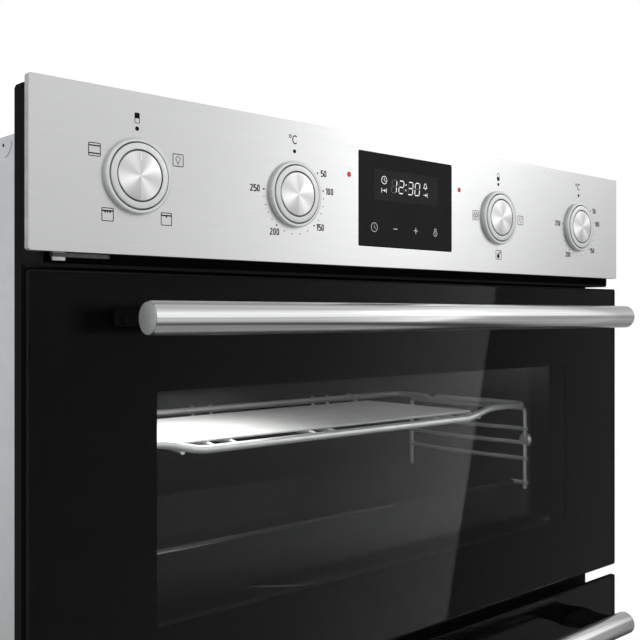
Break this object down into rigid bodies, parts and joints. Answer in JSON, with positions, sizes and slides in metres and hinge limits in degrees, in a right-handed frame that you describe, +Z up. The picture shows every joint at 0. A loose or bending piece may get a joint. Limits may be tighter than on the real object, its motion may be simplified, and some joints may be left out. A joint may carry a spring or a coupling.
{
  "type": "built-in double wall oven",
  "caption": "Built-in double oven: control panel with display and retracting knobs over a small grill oven and a larger fan oven, each with a drop-down glass door and bar handle.",
  "frame": {"origin": "middle of the underside of the base plate", "axes": "+Z up, +X to the right when facing the oven, +Y into the wall; the doors and the control panel face -Y"},
  "size_m": [0.594, 0.6146, 0.888],
  "materials": {
    "brushed_steel": "horizontal brushed grain",
    "polished_steel": "polished",
    "knob_metal": "satin rim, spun face",
    "handle_metal": "satin",
    "steel": "bare steel",
    "chromed_wire": "bright plated",
    "galvanised_sheet": "dull zinc",
    "black_paint": "satin black",
    "black_glass": "polished black print behind clear glass",
    "clear_glass": "clear",
    "black_plastic": "matt",
    "pale_plastic": "matt",
    "red_lens": "translucent red",
    "rubber": "matt",
    "enamel": "glossy vitreous enamel with fine specks",
    "mineral_wool": "fibrous",
    "heating_rod": "heat-tinted steel"
  },
  "bodies": {
    "chassis": {"control_panel": "brushed_steel", "knob_bezel_1": "polished_steel", "knob_bezel_2": "polished_steel", "knob_bezel_3": "polished_steel", "knob_bezel_4": "polished_steel", "upper_hinge_arm_left": "steel", "upper_hinge_arm_right": "steel", "lower_hinge_arm_left": "steel", "lower_hinge_arm_right": "steel", "fan_motor": "steel", "upper_rack_left": "chromed_wire", "upper_rack_right": "chromed_wire", "lower_rack_left": "chromed_wire", "lower_rack_right": "chromed_wire", "outer_wrap": "galvanised_sheet", "back_panel": "galvanised_sheet", "base_plate": "galvanised_sheet", "cooling_fan_housing": "galvanised_sheet", "front_frame": "black_paint", "panel_carrier": "black_paint", "bottom_trim": "black_paint", "display_module": "black_glass", "upper_lamp_lens": "clear_glass", "lower_lamp_lens": "clear_glass", "terminal_block": "black_plastic", "upper_selector_switch": "pale_plastic", "upper_thermostat": "pale_plastic", "lower_selector_switch": "pale_plastic", "lower_thermostat": "pale_plastic", "indicator_lamp_left": "red_lens", "indicator_lamp_right": "red_lens", "upper_door_seal": "rubber", "lower_door_seal": "rubber", "upper_cavity": "enamel", "lower_cavity": "enamel", "fan_cover": "enamel", "insulation": "mineral_wool", "grill_element": "heating_rod", "ring_element": "heating_rod"},
    "upper_door": {"upper_door_glass": "black_glass", "upper_door_frame": "black_paint", "upper_door_inner_glass": "clear_glass", "upper_door_handle": "handle_metal"},
    "lower_door": {"lower_door_glass": "black_glass", "lower_door_frame": "black_paint", "lower_door_inner_glass": "clear_glass", "lower_door_handle": "handle_metal"},
    "upper_shelf": {"upper_shelf": "chromed_wire"},
    "upper_tray": {"upper_tray": "enamel"},
    "lower_shelf": {"lower_shelf": "chromed_wire"},
    "convection_fan": {"convection_fan": "steel"},
    "cooling_impeller": {"cooling_impeller": "black_plastic"},
    "spindle_1": {"spindle_1": "steel"},
    "knob_1": {"knob_1": "knob_metal"},
    "spindle_2": {"spindle_2": "steel"},
    "knob_2": {"knob_2": "knob_metal"},
    "spindle_3": {"spindle_3": "steel"},
    "knob_3": {"knob_3": "knob_metal"},
    "spindle_4": {"spindle_4": "steel"},
    "knob_4": {"knob_4": "knob_metal"}
  },
  "joints": [
    {"name": "upper_door_hinge", "type": "hinge", "parent": "chassis", "child": "upper_door", "pos_m": [0, -0.242, 0.527], "axis": [1, 0, 0], "range_deg": [0, 90], "stiffness_Nm_per_rad": 1.5, "springref_deg": -34.38},
    {"name": "lower_door_hinge", "type": "hinge", "parent": "chassis", "child": "lower_door", "pos_m": [0, -0.242, 0.035], "axis": [1, 0, 0], "range_deg": [0, 90], "stiffness_Nm_per_rad": 4, "springref_deg": -28.65},
    {"name": "knob_1_turn", "type": "hinge", "parent": "chassis", "child": "spindle_1", "pos_m": [-0.231, -0.257, 0.8373], "axis": [0, 1, 0], "continuous": true},
    {"name": "knob_1_pop", "type": "slide", "parent": "spindle_1", "child": "knob_1", "axis": [0, -1, 0], "range_m": [0, 0.018]},
    {"name": "knob_2_turn", "type": "hinge", "parent": "chassis", "child": "spindle_2", "pos_m": [-0.111, -0.257, 0.8373], "axis": [0, 1, 0], "range_deg": [0, 275]},
    {"name": "knob_2_pop", "type": "slide", "parent": "spindle_2", "child": "knob_2", "axis": [0, -1, 0], "range_m": [0, 0.018]},
    {"name": "knob_3_turn", "type": "hinge", "parent": "chassis", "child": "spindle_3", "pos_m": [0.111, -0.257, 0.8373], "axis": [0, 1, 0], "continuous": true},
    {"name": "knob_3_pop", "type": "slide", "parent": "spindle_3", "child": "knob_3", "axis": [0, -1, 0], "range_m": [0, 0.018]},
    {"name": "knob_4_turn", "type": "hinge", "parent": "chassis", "child": "spindle_4", "pos_m": [0.231, -0.257, 0.8373], "axis": [0, 1, 0], "range_deg": [0, 275]},
    {"name": "knob_4_pop", "type": "slide", "parent": "spindle_4", "child": "knob_4", "axis": [0, -1, 0], "range_m": [0, 0.018]},
    {"name": "upper_shelf_slide", "type": "slide", "parent": "chassis", "child": "upper_shelf", "axis": [0, -1, 0], "range_m": [0, 0.025]},
    {"name": "upper_tray_slide", "type": "slide", "parent": "chassis", "child": "upper_tray", "axis": [0, -1, 0], "range_m": [0, 0.028]},
    {"name": "lower_shelf_slide", "type": "slide", "parent": "chassis", "child": "lower_shelf", "axis": [0, -1, 0], "range_m": [0, 0.025]},
    {"name": "convection_fan_spin", "type": "hinge", "parent": "chassis", "child": "convection_fan", "pos_m": [0, 0.183, 0.255], "axis": [0, 1, 0], "continuous": true},
    {"name": "cooling_fan_spin", "type": "hinge", "parent": "chassis", "child": "cooling_impeller", "pos_m": [0, 0.043, 0.815], "axis": [0, 0, 1], "continuous": true}
  ]
}
